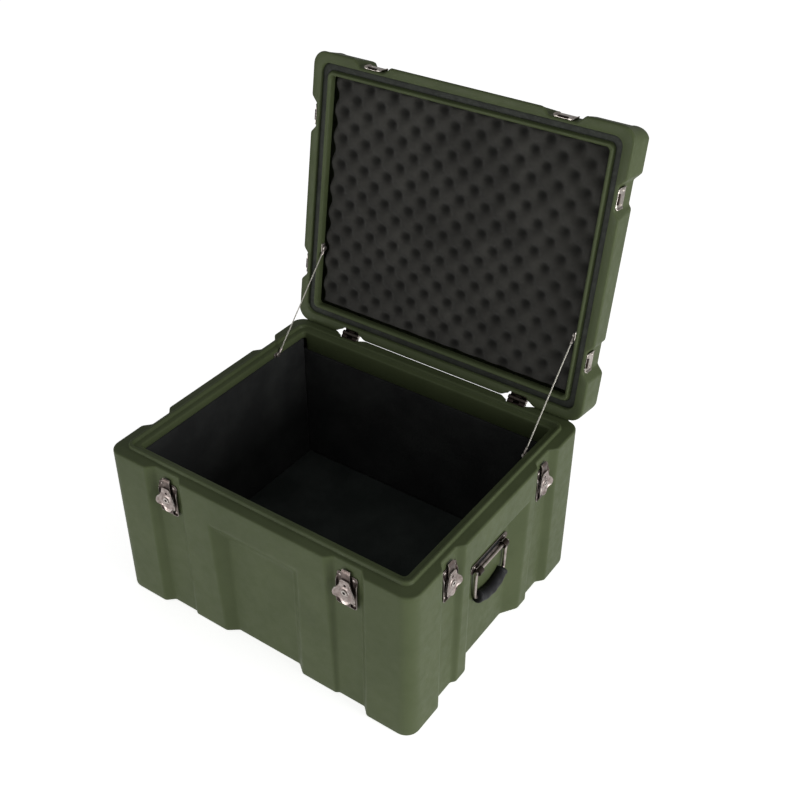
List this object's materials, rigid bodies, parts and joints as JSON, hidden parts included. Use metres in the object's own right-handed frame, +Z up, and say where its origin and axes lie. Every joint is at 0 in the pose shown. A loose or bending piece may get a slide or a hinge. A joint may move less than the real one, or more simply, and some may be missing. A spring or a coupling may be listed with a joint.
{
  "type": "hard equipment case",
  "caption": "Hard rectangular equipment case with a hinged lid held open by wire stays, turn latches, folding side handles and foam lining.",
  "frame": {"origin": "centre of the base's underside", "axes": "+X along the front wall, +Y from the front wall to the hinges, +Z up"},
  "size_m": [0.601, 0.6299, 0.7953],
  "materials": {
    "olive_plastic": "fine moulded texture, satin",
    "black_foam": "closed-cell foam, matt",
    "grey_foam": "convoluted open-cell foam, matt",
    "black_rubber": "matt",
    "plated_steel": "pale zinc plating, slightly warm",
    "dark_steel": "dark plating"
  },
  "bodies": {
    "base": {"base_shell": "olive_plastic", "lining_floor": "black_foam", "lining_front": "black_foam", "lining_rear": "black_foam", "lining_left": "black_foam", "lining_right": "black_foam", "hinge_base_leaf_left": "plated_steel", "hinge_pin_left": "plated_steel", "handle_bracket_left": "plated_steel", "stay_anchor_base_left": "plated_steel", "lid_stay_left": "plated_steel", "hinge_base_leaf_right": "plated_steel", "hinge_pin_right": "plated_steel", "handle_bracket_right": "plated_steel", "stay_anchor_base_right": "plated_steel", "lid_stay_right": "plated_steel", "latch_plate_front_a": "dark_steel", "latch_plate_front_b": "dark_steel", "latch_plate_right_a": "dark_steel", "latch_plate_right_b": "dark_steel", "latch_plate_left_a": "dark_steel", "latch_plate_left_b": "dark_steel"},
    "lid": {"lid_shell": "olive_plastic", "gasket": "black_rubber", "lid_foam": "grey_foam", "hinge_lid_leaf_left": "plated_steel", "stay_anchor_lid_left": "plated_steel", "hinge_lid_leaf_right": "plated_steel", "stay_anchor_lid_right": "plated_steel", "keeper_front_a": "plated_steel", "keeper_front_b": "plated_steel", "keeper_right_a": "plated_steel", "keeper_right_b": "plated_steel", "keeper_left_a": "plated_steel", "keeper_left_b": "plated_steel"},
    "wing_front_a": {"latch_wing_front_a": "plated_steel"},
    "hook_front_a": {"latch_hook_front_a": "plated_steel"},
    "wing_front_b": {"latch_wing_front_b": "plated_steel"},
    "hook_front_b": {"latch_hook_front_b": "plated_steel"},
    "wing_right_a": {"latch_wing_right_a": "plated_steel"},
    "hook_right_a": {"latch_hook_right_a": "plated_steel"},
    "wing_right_b": {"latch_wing_right_b": "plated_steel"},
    "hook_right_b": {"latch_hook_right_b": "plated_steel"},
    "wing_left_a": {"latch_wing_left_a": "plated_steel"},
    "hook_left_a": {"latch_hook_left_a": "plated_steel"},
    "wing_left_b": {"latch_wing_left_b": "plated_steel"},
    "hook_left_b": {"latch_hook_left_b": "plated_steel"},
    "handle_right": {"handle_bail_right": "plated_steel", "handle_grip_right": "black_rubber"},
    "handle_left": {"handle_bail_left": "plated_steel", "handle_grip_left": "black_rubber"}
  },
  "joints": [
    {"name": "lid_hinge", "type": "hinge", "parent": "base", "child": "lid", "pos_m": [0, 0.2485, 0.3035], "axis": [1, 0, 0], "range_deg": [0, 99], "deforming": ["lid_stay_left", "lid_stay_right"]},
    {"name": "wing_turn_front_a", "type": "hinge", "parent": "base", "child": "wing_front_a", "pos_m": [0.1785, -0.2375, 0.248], "axis": [0, -1, 0], "range_deg": [0, 180]},
    {"name": "hook_rise_front_a", "type": "slide", "parent": "base", "child": "hook_front_a", "axis": [0, 0, 1], "range_m": [0, 0.022]},
    {"name": "wing_turn_front_b", "type": "hinge", "parent": "base", "child": "wing_front_b", "pos_m": [-0.1785, -0.2375, 0.248], "axis": [0, -1, 0], "range_deg": [0, 180]},
    {"name": "hook_rise_front_b", "type": "slide", "parent": "base", "child": "hook_front_b", "axis": [0, 0, 1], "range_m": [0, 0.022]},
    {"name": "wing_turn_right_a", "type": "hinge", "parent": "base", "child": "wing_right_a", "pos_m": [0.2885, 0.139, 0.248], "axis": [1, 0, 0], "range_deg": [0, 180]},
    {"name": "hook_rise_right_a", "type": "slide", "parent": "base", "child": "hook_right_a", "axis": [0, 0, 1], "range_m": [0, 0.022]},
    {"name": "wing_turn_right_b", "type": "hinge", "parent": "base", "child": "wing_right_b", "pos_m": [0.2885, -0.139, 0.248], "axis": [1, 0, 0], "range_deg": [0, 180]},
    {"name": "hook_rise_right_b", "type": "slide", "parent": "base", "child": "hook_right_b", "axis": [0, 0, 1], "range_m": [0, 0.022]},
    {"name": "wing_turn_left_a", "type": "hinge", "parent": "base", "child": "wing_left_a", "pos_m": [-0.2885, -0.139, 0.248], "axis": [-1, 0, 0], "range_deg": [0, 180]},
    {"name": "hook_rise_left_a", "type": "slide", "parent": "base", "child": "hook_left_a", "axis": [0, 0, 1], "range_m": [0, 0.022]},
    {"name": "wing_turn_left_b", "type": "hinge", "parent": "base", "child": "wing_left_b", "pos_m": [-0.2885, 0.139, 0.248], "axis": [-1, 0, 0], "range_deg": [0, 180]},
    {"name": "hook_rise_left_b", "type": "slide", "parent": "base", "child": "hook_left_b", "axis": [0, 0, 1], "range_m": [0, 0.022]},
    {"name": "handle_swing_right", "type": "hinge", "parent": "base", "child": "handle_right", "pos_m": [0.2835, 0, 0.185], "axis": [0, -1, 0], "range_deg": [0, 90]},
    {"name": "handle_swing_left", "type": "hinge", "parent": "base", "child": "handle_left", "pos_m": [-0.2835, 0, 0.185], "axis": [0, 1, 0], "range_deg": [0, 90]}
  ],
  "couplings": [
    {"joint": "hook_rise_front_a", "follows": "wing_turn_front_a", "m_per_rad": 0.007},
    {"joint": "hook_rise_front_b", "follows": "wing_turn_front_b", "m_per_rad": 0.007},
    {"joint": "hook_rise_right_a", "follows": "wing_turn_right_a", "m_per_rad": 0.007},
    {"joint": "hook_rise_right_b", "follows": "wing_turn_right_b", "m_per_rad": 0.007},
    {"joint": "hook_rise_left_a", "follows": "wing_turn_left_a", "m_per_rad": 0.007},
    {"joint": "hook_rise_left_b", "follows": "wing_turn_left_b", "m_per_rad": 0.007}
  ]
}
